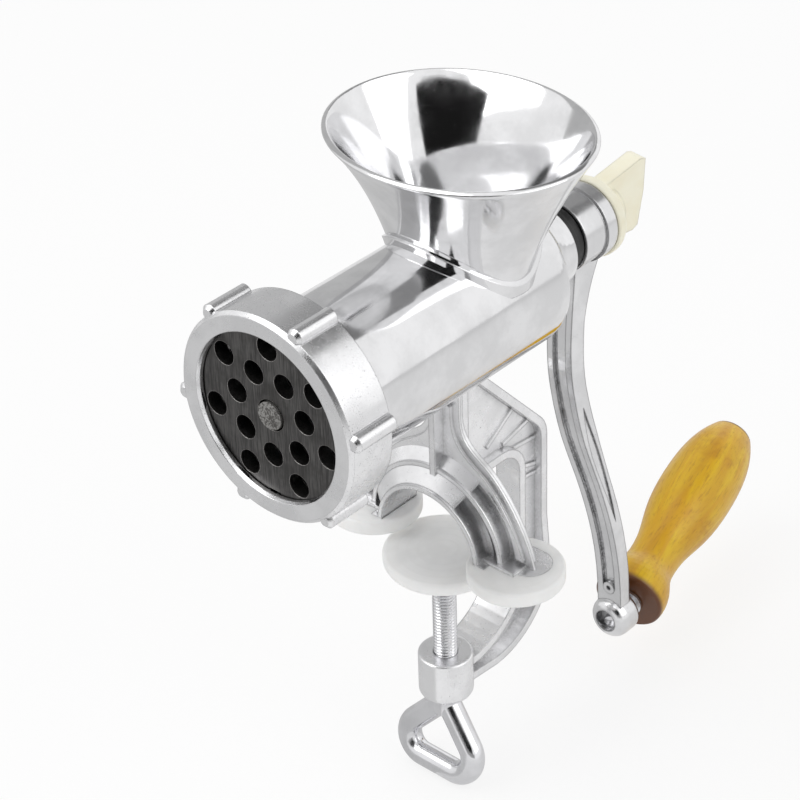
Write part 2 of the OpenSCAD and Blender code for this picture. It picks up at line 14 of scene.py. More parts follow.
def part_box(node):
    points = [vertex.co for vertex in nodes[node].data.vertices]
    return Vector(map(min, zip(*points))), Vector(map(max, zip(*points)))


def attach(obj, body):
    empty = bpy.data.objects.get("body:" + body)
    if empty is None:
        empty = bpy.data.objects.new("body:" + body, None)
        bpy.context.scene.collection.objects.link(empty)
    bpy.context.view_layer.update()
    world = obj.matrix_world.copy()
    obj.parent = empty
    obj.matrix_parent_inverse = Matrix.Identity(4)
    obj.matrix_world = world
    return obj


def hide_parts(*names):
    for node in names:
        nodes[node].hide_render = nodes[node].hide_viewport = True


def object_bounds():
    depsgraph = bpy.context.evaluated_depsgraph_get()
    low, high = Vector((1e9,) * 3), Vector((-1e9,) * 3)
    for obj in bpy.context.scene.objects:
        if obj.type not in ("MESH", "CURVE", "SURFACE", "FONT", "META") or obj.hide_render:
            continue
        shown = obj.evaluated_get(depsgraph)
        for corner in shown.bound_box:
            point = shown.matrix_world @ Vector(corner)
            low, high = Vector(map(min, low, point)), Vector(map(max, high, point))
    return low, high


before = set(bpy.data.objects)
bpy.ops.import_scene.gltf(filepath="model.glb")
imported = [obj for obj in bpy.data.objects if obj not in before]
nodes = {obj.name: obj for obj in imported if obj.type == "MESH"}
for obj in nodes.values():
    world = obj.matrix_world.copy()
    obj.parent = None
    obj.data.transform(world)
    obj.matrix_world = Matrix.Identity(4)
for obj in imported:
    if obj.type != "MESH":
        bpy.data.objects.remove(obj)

MM = 0.001
cad_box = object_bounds()
print("nodes", len(nodes), "box", [round(v, 4) for corner in cad_box for v in corner])

# %% [markdown]
# ## The camera
# A product shot is taken with a long lens, from the right and well above, so that the plate, the
# funnel and the clamp all show. The camera looks past the ring nut's face, so its place is worked
# out from that point, two angles and a distance.

# %% Camera
CAMERA_AZIMUTH = 42.55
CAMERA_ELEVATION = 33.56
CAMERA_ROLL = -1.92
CAMERA_DISTANCE = 777.2 * MM
CAMERA_LENS = 122.52
RING_FACE = Vector((0.0, -75.4, 87.5)) * MM
RING_FACE_IN_VIEW = Vector((-39.63, -5.36)) * MM


def camera_axes(azimuth, elevation, roll):
    """The camera's right, up and backward directions."""
    a, e, r = (math.radians(angle) for angle in (azimuth, elevation, roll))
    back = Vector((math.sin(a) * math.cos(e), -math.cos(a) * math.cos(e), math.sin(e)))
    right = Vector((math.cos(a), math.sin(a), 0.0))
    up = back.cross(right)
    turned_right = math.cos(r) * right + math.sin(r) * up
    turned_up = math.cos(r) * up - math.sin(r) * right
    return turned_right, turned_up, back


right, up, back = camera_axes(CAMERA_AZIMUTH, CAMERA_ELEVATION, CAMERA_ROLL)
offset = RING_FACE_IN_VIEW.x * right + RING_FACE_IN_VIEW.y * up
eye = RING_FACE - offset + CAMERA_DISTANCE * back
bpy.ops.object.camera_add(location=eye)
camera = bpy.context.object
camera.rotation_euler = Matrix((right, up, back)).transposed().to_euler()
camera.data.sensor_width = 36.0
camera.data.lens = CAMERA_LENS
camera.data.shift_x = -0.00396
camera.data.shift_y = 0.00091
camera.data.clip_start = 0.01
bpy.context.scene.camera = camera
print("camera", [round(v, 4) for v in camera.location])

# %% [markdown]
# ## The studio
# Bright metal shows what stands around it, so the room is lit for its reflections. It is white, as a
# light tent is, with a gap on the camera's side, a dark ceiling behind and a grey wall to the left.
# Those give the metal its dark streaks and its grey side.

# %% Room
ROOM_LIGHT = 0.55


def white_room(strength):
    """A world that is white where it is seen, straight or in a reflection."""
    world = bpy.data.worlds.new("room")
    bpy.context.scene.world = world
    world.use_nodes = True
    tree = world.node_tree
    background = tree.nodes["Background"]
    path = tree.nodes.new("ShaderNodeLightPath")
    seen = tree.nodes.new("ShaderNodeMath")
    seen.operation = "MAXIMUM"
    tree.links.new(path.outputs["Is Camera Ray"], seen.inputs[0])
    tree.links.new(path.outputs["Is Glossy Ray"], seen.inputs[1])
    also = tree.nodes.new("ShaderNodeMath")
    also.operation = "MAXIMUM"
    tree.links.new(seen.outputs[0], also.inputs[0])
    tree.links.new(path.outputs["Is Transmission Ray"], also.inputs[1])
    mix = tree.nodes.new("ShaderNodeMix")
    mix.inputs["A"].default_value = strength
    mix.inputs["B"].default_value = 1.0
    tree.links.new(also.outputs[0], mix.inputs["Factor"])
    tree.links.new(mix.outputs["Result"], background.inputs["Strength"])
    background.inputs["Color"].default_value = (1.0, 1.0, 1.0, 1.0)


white_room(ROOM_LIGHT)
bpy.context.scene.view_settings.view_transform = "Standard"
print("room", ROOM_LIGHT)

# %% [markdown]
# Three large, soft lamps light the grinder at a level where a colour comes out about as it is
# written: a key from the left and above, a weaker one from the right, and one from behind.

# %% Lamps
SUBJECT = Vector((0.0, 20.0, 45.0)) * MM


def outward(azimuth, elevation):
    """The direction from the grinder to an azimuth and elevation, azimuth 0 in front of it."""
    a, e = math.radians(azimuth), math.radians(elevation)
    return Vector((math.sin(a) * math.cos(e), -math.cos(a) * math.cos(e), math.sin(e)))


def softbox(name, azimuth, elevation, distance, size, watts):
    """A square lamp that looks at the grinder from an angle."""
    place = outward(azimuth, elevation) * distance
    bpy.ops.object.light_add(type="AREA", location=SUBJECT + place)
    lamp = bpy.context.object
    lamp.name = name
    lamp.rotation_euler = place.to_track_quat("Z", "Y").to_euler()
    lamp.data.size = size
    lamp.data.energy = watts
    return lamp


lamps = [softbox("key", -25, 55, 1.5, 1.2, 9.0), softbox("fill", 100, 35, 1.5, 1.2, 4.0),
         softbox("back", 215, 50, 1.5, 1.2, 3.0)]
print("lamps", [lamp.name for lamp in lamps])

# %% [markdown]
# The gap, the ceiling and the wall are cards that only reflections see: they light nothing, cast no
# shadow, and the camera looks through them. Each is given by the angles it fills, seen from the
# grinder, and glows at the level that its reflection should have.

# %% Cards
CARD_DISTANCE = 1.1
CARDS = (  # name, azimuth, elevation, degrees wide, degrees high, glow
    ("gap", 26, 30, 62, 36, 0.010), ("gap_low", 34, 5, 60, 13, 0.34), ("ceiling", 167, 58, 40, 40, 0.20),
    ("ceiling_side", -158, 50, 44, 40, 0.30), ("wall", -110, 24, 70, 82, 0.52),
    ("wall_front", -70, 62, 30, 30, 0.55))


def stage_card(name, azimuth, elevation, wide, high, level):
    """A card that faces the grinder and fills an angle of its surroundings."""
    place = outward(azimuth, elevation) * CARD_DISTANCE
    bpy.ops.mesh.primitive_plane_add(size=1.0, location=SUBJECT + place)
    card = bpy.context.object
    card.name = name
    card.scale = (2 * CARD_DISTANCE * math.tan(math.radians(wide / 2) * math.cos(math.radians(elevation))),
                  2 * CARD_DISTANCE * math.tan(math.radians(high / 2)), 1.0)
    card.rotation_euler = place.to_track_quat("Z", "Y").to_euler()
    material = bpy.data.materials.new(name)
    material.use_nodes = True
    shader = material.node_tree.nodes["Principled BSDF"]
    shader.inputs["Base Color"].default_value = (0.0, 0.0, 0.0, 1.0)
    shader.inputs["Specular IOR Level"].default_value = 0.0
    shader.inputs["Emission Color"].default_value = (level, level, level, 1.0)
    shader.inputs["Emission Strength"].default_value = 1.0
    card.data.materials.append(material)
    card.visible_camera = False
    card.visible_diffuse = False
    card.visible_shadow = False
    card.visible_transmission = False
    card.visible_volume_scatter = False
    return card


cards = [stage_card(*card) for card in CARDS]
print("cards", len(cards))

# %% [markdown]
# The floor is a plain white sweep. Where the camera sees it, its white is its own, so that it stays
# clean at a plain light level. A share of the lit floor shows through and keeps the soft shadow
# under the grinder, and the metal reflects it too, a little darker on the wall's side.

# %% Floor
FLOOR_GLOW = 0.8          # the share of the floor's white that is its own, where the camera sees it
REFLECTED_GLOW = 0.5      # the same share in a reflection
REFLECTED_WHITE = 0.80    # how bright that own white is in a reflection


def floor_finish():
    """White that glows for the eye and is lit for the shadow."""
    material = bpy.data.materials.new("floor_white")
    material.use_nodes = True
    tree = material.node_tree
    shader = tree.nodes["Principled BSDF"]
    shader.inputs["Base Color"].default_value = (0.96, 0.96, 0.96, 1.0)
    shader.inputs["Roughness"].default_value = 0.9
    shader.inputs["Specular IOR Level"].default_value = 0.0
    glow = tree.nodes.new("ShaderNodeEmission")
    path = tree.nodes.new("ShaderNodeLightPath")
    seen = tree.nodes.new("ShaderNodeMath")
    seen.operation = "MULTIPLY"
    seen.inputs[1].default_value = FLOOR_GLOW
    tree.links.new(path.outputs["Is Camera Ray"], seen.inputs[0])
    share = tree.nodes.new("ShaderNodeMath")
    share.operation = "MULTIPLY_ADD"
    share.inputs[1].default_value = REFLECTED_GLOW
    tree.links.new(path.outputs["Is Glossy Ray"], share.inputs[0])
    tree.links.new(seen.outputs[0], share.inputs[2])
    level = tree.nodes.new("ShaderNodeMath")
    level.operation = "MULTIPLY_ADD"
    level.inputs[1].default_value = 1.0 - REFLECTED_WHITE
    level.inputs[2].default_value = REFLECTED_WHITE
    tree.links.new(path.outputs["Is Camera Ray"], level.inputs[0])
    tree.links.new(level.outputs[0], glow.inputs["Strength"])
    mix = tree.nodes.new("ShaderNodeMixShader")
    tree.links.new(share.outputs[0], mix.inputs[0])
    tree.links.new(shader.outputs[0], mix.inputs[1])
    tree.links.new(glow.outputs[0], mix.inputs[2])
    tree.links.new(mix.outputs[0], tree.nodes["Material Output"].inputs["Surface"])
    return material


FLOOR_HEIGHT = cad_box[0][2] - 0.5 * MM
bpy.ops.mesh.primitive_plane_add(size=6.0, location=(0.0, 0.0, FLOOR_HEIGHT))
floor = bpy.context.object
floor.name = "floor"
floor.data.materials.append(floor_finish())
floor_card = stage_card("floor_card", -90, 0, 30, 30, 0.60)
floor_card.location = (-0.36, -0.16, FLOOR_HEIGHT + 0.2 * MM)
floor_card.rotation_euler = (0.0, 0.0, 0.0)
floor_card.scale = (0.72, 0.8, 1.0)
print("floor at", round(floor.location.z, 4))

# %% [markdown]
# ## Effects that several finishes share
# A real surface is never even. Small effects are made once as node groups and placed in each
# finish with its own values: soft variation, grit in the casting's skin, and the rounding that
# tumbling and polishing leave on every edge.

# %% A helper for node groups
def effect(name, inputs, outputs):
    """A new shader node group with named sockets. Returns the tree and its two ends."""
    tree = bpy.data.node_groups.new(name, "ShaderNodeTree")
    for socket, kind, value in inputs:
        made = tree.interface.new_socket(socket, in_out="INPUT", socket_type=kind)
        if value is not None:
            made.default_value = value
    for socket, kind in outputs:
        tree.interface.new_socket(socket, in_out="OUTPUT", socket_type=kind)
    return tree, tree.nodes.new("NodeGroupInput"), tree.nodes.new("NodeGroupOutput")


def math_node(tree, operation, first, second, third=None, clamp=False):
    """A Math node. A value is a number or another node's output."""
    node = tree.nodes.new("ShaderNodeMath")
    node.operation = operation
    node.use_clamp = clamp
    for i, value in enumerate((first, second, third)):
        if value is None:
            continue
        if isinstance(value, (int, float)):
            node.inputs[i].default_value = value
        else:
            tree.links.new(value, node.inputs[i])
    return node.outputs[0]


def map_range(tree, value, low, high, to_low=0.0, to_high=1.0):
    """A smooth ramp between two values."""
    node = tree.nodes.new("ShaderNodeMapRange")
    node.interpolation_type = "SMOOTHSTEP"
    tree.links.new(value, node.inputs["Value"])
    for socket, number in (("From Min", low), ("From Max", high), ("To Min", to_low), ("To Max", to_high)):
        if isinstance(number, (int, float)):
            node.inputs[socket].default_value = number
        else:
            tree.links.new(number, node.inputs[socket])
    return node.outputs["Result"]


def noise(tree, vector, scale, detail=2.0, roughness=0.5, distortion=0.0):
    """A Noise texture's value."""
    node = tree.nodes.new("ShaderNodeTexNoise")
    tree.links.new(vector, node.inputs["Vector"])
    for socket, number in (("Scale", scale), ("Detail", detail), ("Roughness", roughness),
                           ("Distortion", distortion)):
        if isinstance(number, (int, float)):
            node.inputs[socket].default_value = number
        else:
            tree.links.new(number, node.inputs[socket])
    return node.outputs["Fac"]


print("helpers ready")

# %% [markdown]
# Grit is the pitted skin of a sand casting: clusters of small dark specks. One noise places the
# clusters and a finer one the specks in them.

# %% Grit
def grit_effect():
    """Dark specks in clusters. Cover is how much of the surface has them, 0 to 1."""
    tree, start, end = effect(
        "grit", (("Vector", "NodeSocketVector", None), ("Scale", "NodeSocketFloat", 2200.0),
                 ("Cover", "NodeSocketFloat", 0.3)), (("Mask", "NodeSocketFloat"),))
    clusters = noise(tree, start.outputs["Vector"], 90.0, 3.0, 0.6)
    specks = noise(tree, start.outputs["Vector"], start.outputs["Scale"], 2.0, 0.6)
    edge = map_range(tree, start.outputs["Cover"], 0.0, 1.0, 0.74, 0.40)
    top = math_node(tree, "ADD", edge, 0.08)
    mask = map_range(tree, specks, edge, top)
    place = map_range(tree, clusters, 0.36, 0.62, 0.25, 1.0)
    tree.links.new(math_node(tree, "MULTIPLY", mask, place), end.inputs["Mask"])
    return tree


GRIT = grit_effect()
print("group", GRIT.name)

# %% [markdown]
# The edges of the frame are exact and sharp, and a real edge is round. A Bevel node bends the light
# round an edge without changing the mesh. How far it bends also marks the edge, so that polish can
# brighten it, or a finish make it darker.

# %% Rounded edges
def rounded_effect():
    """A normal that is round at edges, and a mask of those edges."""
    tree, start, end = effect("rounded", (("Radius", "NodeSocketFloat", 0.0006),),
                              (("Normal", "NodeSocketVector"), ("Edge", "NodeSocketFloat")))
    bevel = tree.nodes.new("ShaderNodeBevel")
    bevel.samples = 6
    tree.links.new(start.outputs["Radius"], bevel.inputs["Radius"])
    geometry = tree.nodes.new("ShaderNodeNewGeometry")
    dot = tree.nodes.new("ShaderNodeVectorMath")
    dot.operation = "DOT_PRODUCT"
    tree.links.new(bevel.outputs[0], dot.inputs[0])
    tree.links.new(geometry.outputs["Normal"], dot.inputs[1])
    bent = math_node(tree, "SUBTRACT", 1.0, dot.outputs["Value"])
    tree.links.new(map_range(tree, bent, 0.02, 0.16), end.inputs["Edge"])
    tree.links.new(bevel.outputs[0], end.inputs["Normal"])
    return tree


ROUNDED = rounded_effect()
print("group", ROUNDED.name)

# %% [markdown]
# A recess keeps its cast skin and grit, because the polishing wheel never reaches it. An Ambient
# Occlusion node that sees only its own piece finds the recesses, and the metals darken them: painted shade.

# %% Recesses, darkened as painted shade
def recess_shade_effect():
    """A mask of hollows and inner corners, by the size of what would touch them. It drives painted shade."""
    tree, start, end = effect(
        "recess_shade", (("Reach", "NodeSocketFloat", 0.006), ("Least", "NodeSocketFloat", 0.35),
                   ("Most", "NodeSocketFloat", 0.8)), (("Mask", "NodeSocketFloat"),))
    open_sky = tree.nodes.new("ShaderNodeAmbientOcclusion")
    open_sky.samples = 6
    open_sky.only_local = True
    tree.links.new(start.outputs["Reach"], open_sky.inputs["Distance"])
    mask = map_range(tree, open_sky.outputs["AO"], start.outputs["Least"], start.outputs["Most"], 1.0, 0.0)
    tree.links.new(mask, end.inputs["Mask"])
    return tree


RECESS_SHADE = recess_shade_effect()
print("group", RECESS_SHADE.name)

# %% [markdown]
# ## The metals
# Every metal of the grinder is the same build with its own values: a light tone, a dark tone that
# shows in grit, at darker edges and, as painted shade, in recesses, a roughness that drifts, and a
# faint waviness from the polishing wheel that makes reflections swim.

# %% A metal finish
def paint(red, green, blue):
    """A colour as it is seen on a screen, turned into the linear one that a shader takes."""
    linear = [c / 12.92 if c <= 0.04045 else ((c + 0.055) / 1.055) ** 2.4 for c in (red, green, blue)]
    return (*linear, 1.0)


def placed(tree, group, **values):
    """A group node in a material, with its inputs set or linked."""
    node = tree.nodes.new("ShaderNodeGroup")
    node.node_tree = group
    for socket, value in values.items():
        if isinstance(value, (int, float)):
            node.inputs[socket].default_value = value
        else:
            tree.links.new(value, node.inputs[socket])
    return node


def blend_color(tree, factor, first, second):
    """A mix of two colours, each a tuple or an output."""
    node = tree.nodes.new("ShaderNodeMix")
    node.data_type = "RGBA"
    for socket, value in ((6, first), (7, second)):
        if isinstance(value, tuple):
            node.inputs[socket].default_value = value
        else:
            tree.links.new(value, node.inputs[socket])
    tree.links.new(factor, node.inputs[0])
    return node.outputs[2]


def object_coords(tree):
    """The piece's own coordinates, in metres."""
    return tree.nodes.new("ShaderNodeTexCoord").outputs["Object"]


def bumped(tree, height, distance, strength, normal):
    """A Bump node's normal, from a height in units of distance."""
    node = tree.nodes.new("ShaderNodeBump")
    node.inputs["Strength"].default_value = strength
    node.inputs["Distance"].default_value = distance
    tree.links.new(height, node.inputs["Height"])
    tree.links.new(normal, node.inputs["Normal"])
    return node.outputs["Normal"]


def metal(name, light, dark, smooth, rough, grit=0.2, grit_scale=2200.0, recess_shade=0.6, reach=0.006,
          edge=0.0, radius=0.6, wave=0.03):
    """A worked metal surface."""
    material = bpy.data.materials.new(name)
    material.use_nodes = True
    tree = material.node_tree
    shader = tree.nodes["Principled BSDF"]
    shader.inputs["Metallic"].default_value = 1.0
    coords = object_coords(tree)
    drift = noise(tree, coords, 70.0, 4.0, 0.6)
    swim = noise(tree, coords, 110.0, 1.0, 0.4)
    specks = placed(tree, GRIT, Vector=coords, Scale=grit_scale, Cover=grit)
    edges = placed(tree, ROUNDED, Radius=radius * MM)
    # Hollows found by occlusion are darkened: this is painted shade, mixed with the cast skin's grit.
    hollow_shade = placed(tree, RECESS_SHADE, Reach=reach)
    skin_and_shade = math_node(tree, "MULTIPLY", hollow_shade.outputs["Mask"], recess_shade)
    skin_grit = placed(tree, GRIT, Vector=coords, Scale=1300.0, Cover=0.85)
    skin_depth = map_range(tree, skin_grit.outputs["Mask"], 0.0, 1.0, 0.45, 1.0)
    skin_shade_dark = math_node(tree, "MULTIPLY", skin_and_shade, skin_depth)
    # Edges are blended towards the dark tone by the edge value.
    darker_edge = math_node(tree, "MULTIPLY", edges.outputs["Edge"], edge)
    grit_shade_and_edges = math_node(tree, "MAXIMUM", skin_shade_dark, math_node(tree, "MULTIPLY", specks.outputs["Mask"], 0.75))
    grit_shade_and_edges = math_node(tree, "MAXIMUM", grit_shade_and_edges, darker_edge, clamp=True)
    tone = blend_color(tree, map_range(tree, drift, 0.35, 0.65), light,
                       tuple(c * 0.88 for c in light[:3]) + (1.0,))
    # The colour goes to the dark tone at grit specks, at darker edges, and in recesses as painted shade.
    tree.links.new(blend_color(tree, grit_shade_and_edges, tone, dark), shader.inputs["Base Color"])
    sheen = map_range(tree, drift, 0.3, 0.7, smooth, rough)
    tree.links.new(math_node(tree, "MULTIPLY_ADD", grit_shade_and_edges, 0.3, sheen, clamp=True), shader.inputs["Roughness"])
    waves = bumped(tree, swim, wave * MM, 1.0, edges.outputs["Normal"])
    pits = math_node(tree, "MAXIMUM", specks.outputs["Mask"],
                     math_node(tree, "MULTIPLY", skin_and_shade, skin_grit.outputs["Mask"]))
    pitted = bumped(tree, math_node(tree, "SUBTRACT", 1.0, pits), 0.06 * MM, 0.5, waves)
    tree.links.new(pitted, shader.inputs["Normal"])
    return material


polished_casting = metal("polished_casting", paint(0.925, 0.925, 0.93), paint(0.26, 0.25, 0.25), 0.05, 0.14,
                         grit=0.12, recess_shade=0.5, wave=0.045)
clamp_casting = metal("clamp_casting", paint(0.965, 0.965, 0.97), paint(0.26, 0.255, 0.25), 0.20, 0.38,
                      grit=0.32, recess_shade=0.42, reach=0.008, edge=0.45, radius=0.9, wave=0.06)
ring_finish = metal("ring_finish", paint(0.95, 0.95, 0.955), paint(0.18, 0.18, 0.18), 0.16, 0.34, grit=0.38,
                    grit_scale=2600.0, recess_shade=0.7, edge=0.55, radius=0.5, wave=0.03)
arm_casting = metal("arm_casting", paint(0.92, 0.92, 0.925), paint(0.13, 0.13, 0.13), 0.10, 0.24, grit=0.3,
                    recess_shade=1.0, reach=0.007, edge=0.75, radius=0.9, wave=0.06)
bright_zinc = metal("bright_zinc", paint(0.90, 0.90, 0.91), paint(0.20, 0.20, 0.21), 0.10, 0.26, grit=0.14,
                    recess_shade=0.8, reach=0.002, radius=0.25, wave=0.04)
ground_steel = metal("ground_steel", paint(0.58, 0.58, 0.59), paint(0.16, 0.16, 0.16), 0.3, 0.45, grit=0.2,
                     radius=0.3)
dull_casting = metal("dull_casting", paint(0.66, 0.655, 0.645), paint(0.32, 0.31, 0.30), 0.42, 0.6, grit=0.75,
                     grit_scale=1600.0, radius=0.4)
chrome_cap = metal("chrome_cap", paint(0.95, 0.95, 0.96), paint(0.2, 0.2, 0.2), 0.05, 0.1, grit=0.03,
                   recess_shade=0.2, radius=0.3, wave=0.01)
print("metals", [m.name for m in (polished_casting, clamp_casting, arm_casting, ring_finish, bright_zinc,
                                  ground_steel, dull_casting, chrome_cap)])

# %% [markdown]
# ## The cutting plate
# The plate is carbon steel, ground on a belt and blued by heat: dark, with fine upright lines. A
# noise that is stretched along Z draws the lines, both in the colour and in the bump.

# %% Plate steel
def brushed_plate():
    """Dark steel with upright grinding lines."""
    material = bpy.data.materials.new("plate_steel")
    material.use_nodes = True
    tree = material.node_tree
    shader = tree.nodes["Principled BSDF"]
    shader.inputs["Metallic"].default_value = 1.0
    coords = object_coords(tree)
    stretch = tree.nodes.new("ShaderNodeMapping")
    stretch.inputs["Scale"].default_value = (1.0, 1.0, 0.035)
    tree.links.new(coords, stretch.inputs["Vector"])
    lines = noise(tree, stretch.outputs[0], 3200.0, 3.0, 0.7)
    blotch = noise(tree, coords, 120.0, 4.0, 0.6)
    edges = placed(tree, ROUNDED, Radius=0.3 * MM)
    tone = blend_color(tree, map_range(tree, lines, 0.35, 0.65),
                       paint(0.27, 0.265, 0.265), paint(0.42, 0.415, 0.41))
    tone = blend_color(tree, map_range(tree, blotch, 0.4, 0.7, 0.0, 0.6), tone, paint(0.24, 0.235, 0.23))
    tone = blend_color(tree, edges.outputs["Edge"], tone, paint(0.72, 0.71, 0.70))
    tree.links.new(tone, shader.inputs["Base Color"])
    tree.links.new(map_range(tree, lines, 0.3, 0.7, 0.32, 0.5), shader.inputs["Roughness"])
    tree.links.new(bumped(tree, lines, 0.02 * MM, 0.6, edges.outputs["Normal"]), shader.inputs["Normal"])
    return material


plate_steel = brushed_plate()
print("finish", plate_steel.name)

# %% [markdown]
# ## The plastics
# The pads are a soft, milky plastic that lets a little light in, turned or moulded with faint rings
# on the face. The wing knob is a hard ivory plastic.

# %% Plastics
def plastic(name, light, dark, smooth, rough, glow=0.0, rings=0.0, ring_centre=(0.0, 0.0), radius=0.5,
            speck=0.05):
    """A moulded plastic. Rings are ridges round an upright axis."""
    material = bpy.data.materials.new(name)
    material.use_nodes = True
    tree = material.node_tree
    shader = tree.nodes["Principled BSDF"]
    shader.inputs["Subsurface Weight"].default_value = glow
    shader.inputs["Subsurface Radius"].default_value = (1.0, 0.95, 0.9)
    shader.inputs["Subsurface Scale"].default_value = 0.003
    coords = object_coords(tree)
    cloud = noise(tree, coords, 90.0, 3.0, 0.55)
    grain = noise(tree, coords, 900.0, 2.0, 0.6)
    edges = placed(tree, ROUNDED, Radius=radius * MM)
    specks = placed(tree, GRIT, Vector=coords, Scale=1500.0, Cover=speck)
    tone = blend_color(tree, map_range(tree, cloud, 0.35, 0.7), light, dark)
    tone = blend_color(tree, math_node(tree, "MULTIPLY", specks.outputs["Mask"], 0.5), tone,
                       tuple(c * 0.6 for c in dark[:3]) + (1.0,))
    tree.links.new(tone, shader.inputs["Base Color"])
    tree.links.new(map_range(tree, cloud, 0.3, 0.7, smooth, rough), shader.inputs["Roughness"])
    normal = bumped(tree, grain, 0.02 * MM, 0.35, edges.outputs["Normal"])
    if rings:
        centred = tree.nodes.new("ShaderNodeMapping")
        centred.vector_type = "TEXTURE"
        centred.inputs["Location"].default_value = (ring_centre[0] * MM, ring_centre[1] * MM, 0.0)
        tree.links.new(coords, centred.inputs["Vector"])
        ridges = tree.nodes.new("ShaderNodeTexWave")
        ridges.wave_type = "RINGS"
        ridges.rings_direction = "Z"
        ridges.inputs["Scale"].default_value = rings
        tree.links.new(centred.outputs[0], ridges.inputs["Vector"])
        normal = bumped(tree, ridges.outputs["Fac"], 0.05 * MM, 0.4, normal)
        tone = blend_color(tree, map_range(tree, ridges.outputs["Fac"], 0.6, 1.0, 0.0, 0.35), tone, dark)
        tree.links.new(tone, shader.inputs["Base Color"])
    tree.links.new(normal, shader.inputs["Normal"])
    return material


MILKY = (paint(0.985, 0.985, 0.98), paint(0.95, 0.95, 0.945), 0.28, 0.42)
milky_cap = plastic("milky_cap", *MILKY, glow=0.35, rings=95.0)
milky_left = plastic("milky_left", *MILKY, glow=0.35, rings=95.0, ring_centre=(-29.8, 0.6))
milky_right = plastic("milky_right", *MILKY, glow=0.35, rings=95.0, ring_centre=(29.8, 0.6))
ivory = plastic("ivory_plastic", paint(1.0, 0.985, 0.90), paint(0.985, 0.96, 0.86), 0.28, 0.40, glow=0.1,
                radius=1.1)
nylon = plastic("bush_nylon", paint(0.86, 0.83, 0.74), paint(0.78, 0.75, 0.66), 0.35, 0.5, radius=0.3)
dark_plastic = plastic("dark_plastic", paint(0.10, 0.10, 0.10), paint(0.16, 0.16, 0.16), 0.35, 0.5,
                       radius=0.4)
print("plastics", [m.name for m in (milky_cap, ivory, nylon, dark_plastic)])

# %% [markdown]
# ## The wooden grip
# The grip is turned from a piece of light hardwood and dipped in amber varnish. The grain runs along
# it, so the pattern is drawn in the grip's own directions: a Mapping node moves the coordinates to
# its foot and turns them until Z runs along its axis. Both ends are cut across the grain, drink
# more varnish, and are dark.

# %% Wood
GRIP_FOOT = Vector((13.56, 75.4, -67.96)) * MM
GRIP_AXIS = Vector((-0.20456, 0.96238, 0.17880)).normalized()
FOOT_DARK = (11.0 * MM, 8.4 * MM)      # along the grip, from plain wood to the dark end
TIP_DARK = (95.2 * MM, 96.6 * MM)


def grip_wood():
    """Amber wood with its grain along the grip."""
    material = bpy.data.materials.new("varnished_wood")
    material.use_nodes = True
    tree = material.node_tree
    shader = tree.nodes["Principled BSDF"]
    shader.inputs["Coat Weight"].default_value = 0.2
    shader.inputs["Coat Roughness"].default_value = 0.12
    turned = tree.nodes.new("ShaderNodeMapping")
    turned.vector_type = "TEXTURE"
    turned.inputs["Location"].default_value = GRIP_FOOT
    turned.inputs["Rotation"].default_value = GRIP_AXIS.to_track_quat("Z", "Y").to_euler()
    tree.links.new(object_coords(tree), turned.inputs["Vector"])
    along = tree.nodes.new("ShaderNodeSeparateXYZ")
    tree.links.new(turned.outputs[0], along.inputs[0])
    stretch = tree.nodes.new("ShaderNodeMapping")
    stretch.inputs["Scale"].default_value = (1.0, 1.0, 0.12)
    tree.links.new(turned.outputs[0], stretch.inputs["Vector"])
    fibre = noise(tree, stretch.outputs[0], 1500.0, 3.0, 0.65)
    figure = noise(tree, stretch.outputs[0], 160.0, 2.0, 0.5, 1.2)
    rings = tree.nodes.new("ShaderNodeTexWave")
    rings.wave_type = "BANDS"
    rings.bands_direction = "X"
    rings.inputs["Scale"].default_value = 34.0
    rings.inputs["Distortion"].default_value = 14.0
    rings.inputs["Detail"].default_value = 2.0
    rings.inputs["Detail Scale"].default_value = 0.6
    tree.links.new(stretch.outputs[0], rings.inputs["Vector"])
    cloud = noise(tree, turned.outputs[0], 45.0, 4.0, 0.7)
    tone = blend_color(tree, map_range(tree, figure, 0.3, 0.7),
                       paint(0.89, 0.73, 0.05), paint(0.85, 0.64, 0.02))
    tone = blend_color(tree, map_range(tree, rings.outputs["Fac"], 0.3, 1.0, 0.0, 0.3), tone,
                       paint(0.74, 0.50, 0.02))
    tone = blend_color(tree, map_range(tree, cloud, 0.5, 0.72, 0.0, 0.55), tone, paint(0.68, 0.42, 0.01))
    tone = blend_color(tree, map_range(tree, fibre, 0.5, 0.72, 0.0, 0.4), tone, paint(0.62, 0.38, 0.02))
    foot = map_range(tree, along.outputs["Z"], *FOOT_DARK)
    tip = map_range(tree, along.outputs["Z"], *TIP_DARK)
    ends = math_node(tree, "MAXIMUM", foot, tip)
    tone = blend_color(tree, ends, tone, paint(0.38, 0.20, 0.03))
    tree.links.new(tone, shader.inputs["Base Color"])
    tree.links.new(map_range(tree, fibre, 0.3, 0.7, 0.28, 0.42), shader.inputs["Roughness"])
    edges = placed(tree, ROUNDED, Radius=0.6 * MM)
    tree.links.new(bumped(tree, fibre, 0.04 * MM, 0.25, edges.outputs["Normal"]), shader.inputs["Normal"])
    return material


varnished_wood = grip_wood()
print("finish", varnished_wood.name)

# %% [markdown]
# Each node of the frame gets its finish. A node that isn't named here has the polished casting's.
# The auger's front end shows in the plate's middle, and is left dull from the mould.

